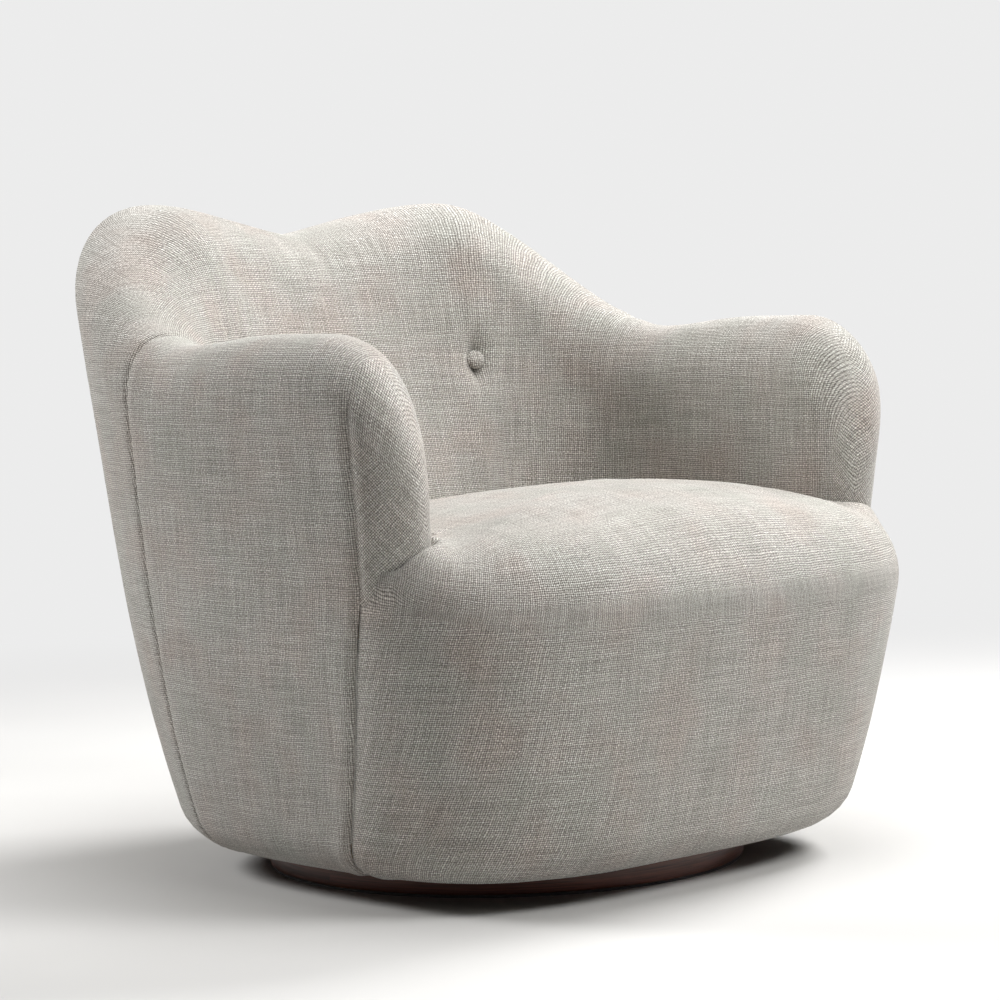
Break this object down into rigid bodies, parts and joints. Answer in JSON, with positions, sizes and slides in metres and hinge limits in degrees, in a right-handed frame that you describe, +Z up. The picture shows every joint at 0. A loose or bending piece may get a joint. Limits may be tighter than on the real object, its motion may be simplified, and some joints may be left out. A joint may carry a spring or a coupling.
{
  "type": "swivel barrel chair",
  "caption": "Low upholstered barrel chair with a wrapped two-humped back, rounded arms and a crowned seat, turning freely on a recessed round plinth.",
  "frame": {"origin": "on the floor, at the swivel axis, which is the centre of the plinth", "axes": "+Z up along the swivel axis, -Y the way a sitter faces, +X to the sitter's left"},
  "size_m": [0.8304, 0.7906, 0.7349],
  "materials": {
    "linen": "plain-woven heavy linen, matt",
    "dark_wood": "dark stained and satin lacquered",
    "plywood": "bare birch plywood",
    "pine": "planed pine",
    "steel": "zinc plated",
    "black_steel": "blackened",
    "polished_steel": "polished",
    "brass": "stamped",
    "felt": "pressed felt",
    "webbing": "woven elastic webbing",
    "foam": "open-cell foam",
    "wadding": "polyester wadding",
    "lining": "black spun-bonded lining",
    "twine": "waxed twine",
    "plastic": "moulded"
  },
  "bodies": {
    "base": {"floor_felt": "felt", "plinth_ring": "dark_wood", "plinth_board": "plywood", "plinth_blocks": "pine", "swivel_lower_plate": "steel", "lower_plate_bolts": "black_steel", "lower_nuts": "steel", "bearing_balls": "polished_steel", "ball_cage": "brass", "pivot_rivet": "steel"},
    "seat": {"swivel_upper_plate": "steel", "upper_plate_bolts": "black_steel", "upper_nuts": "steel", "base_board": "plywood", "seat_ring": "plywood", "ring_uprights": "pine", "front_panel": "plywood", "back_shell": "plywood", "arm_shell_left": "plywood", "arm_shell_right": "plywood", "back_top_rail": "pine", "arm_top_rail_left": "pine", "arm_top_rail_right": "pine", "back_posts": "pine", "arm_posts_left": "pine", "arm_posts_right": "pine", "arm_front_board_left": "plywood", "arm_front_board_right": "plywood", "seat_springs": "steel", "spring_clips": "black_steel", "spring_pad": "felt", "back_webbing": "webbing", "seat_foam": "foam", "back_foam": "foam", "arm_foam_left": "foam", "arm_foam_right": "foam", "arm_front_foam_left": "foam", "arm_front_foam_right": "foam", "back_wadding": "wadding", "side_wadding_left": "wadding", "side_wadding_right": "wadding", "front_wadding": "wadding", "edge_roll": "wadding", "inside_cover": "linen", "outside_back_cover": "linen", "side_cover_left": "linen", "side_cover_right": "linen", "arm_front_cover_left": "linen", "arm_front_cover_right": "linen", "seat_cover": "linen", "front_cover": "linen", "dust_cover": "lining", "back_buttons": "linen", "button_twine": "twine", "button_toggles": "plastic"}
  },
  "joints": [
    {"name": "swivel", "type": "hinge", "parent": "base", "child": "seat", "pos_m": [0, 0, 0.045], "axis": [0, 0, 1], "continuous": true}
  ]
}
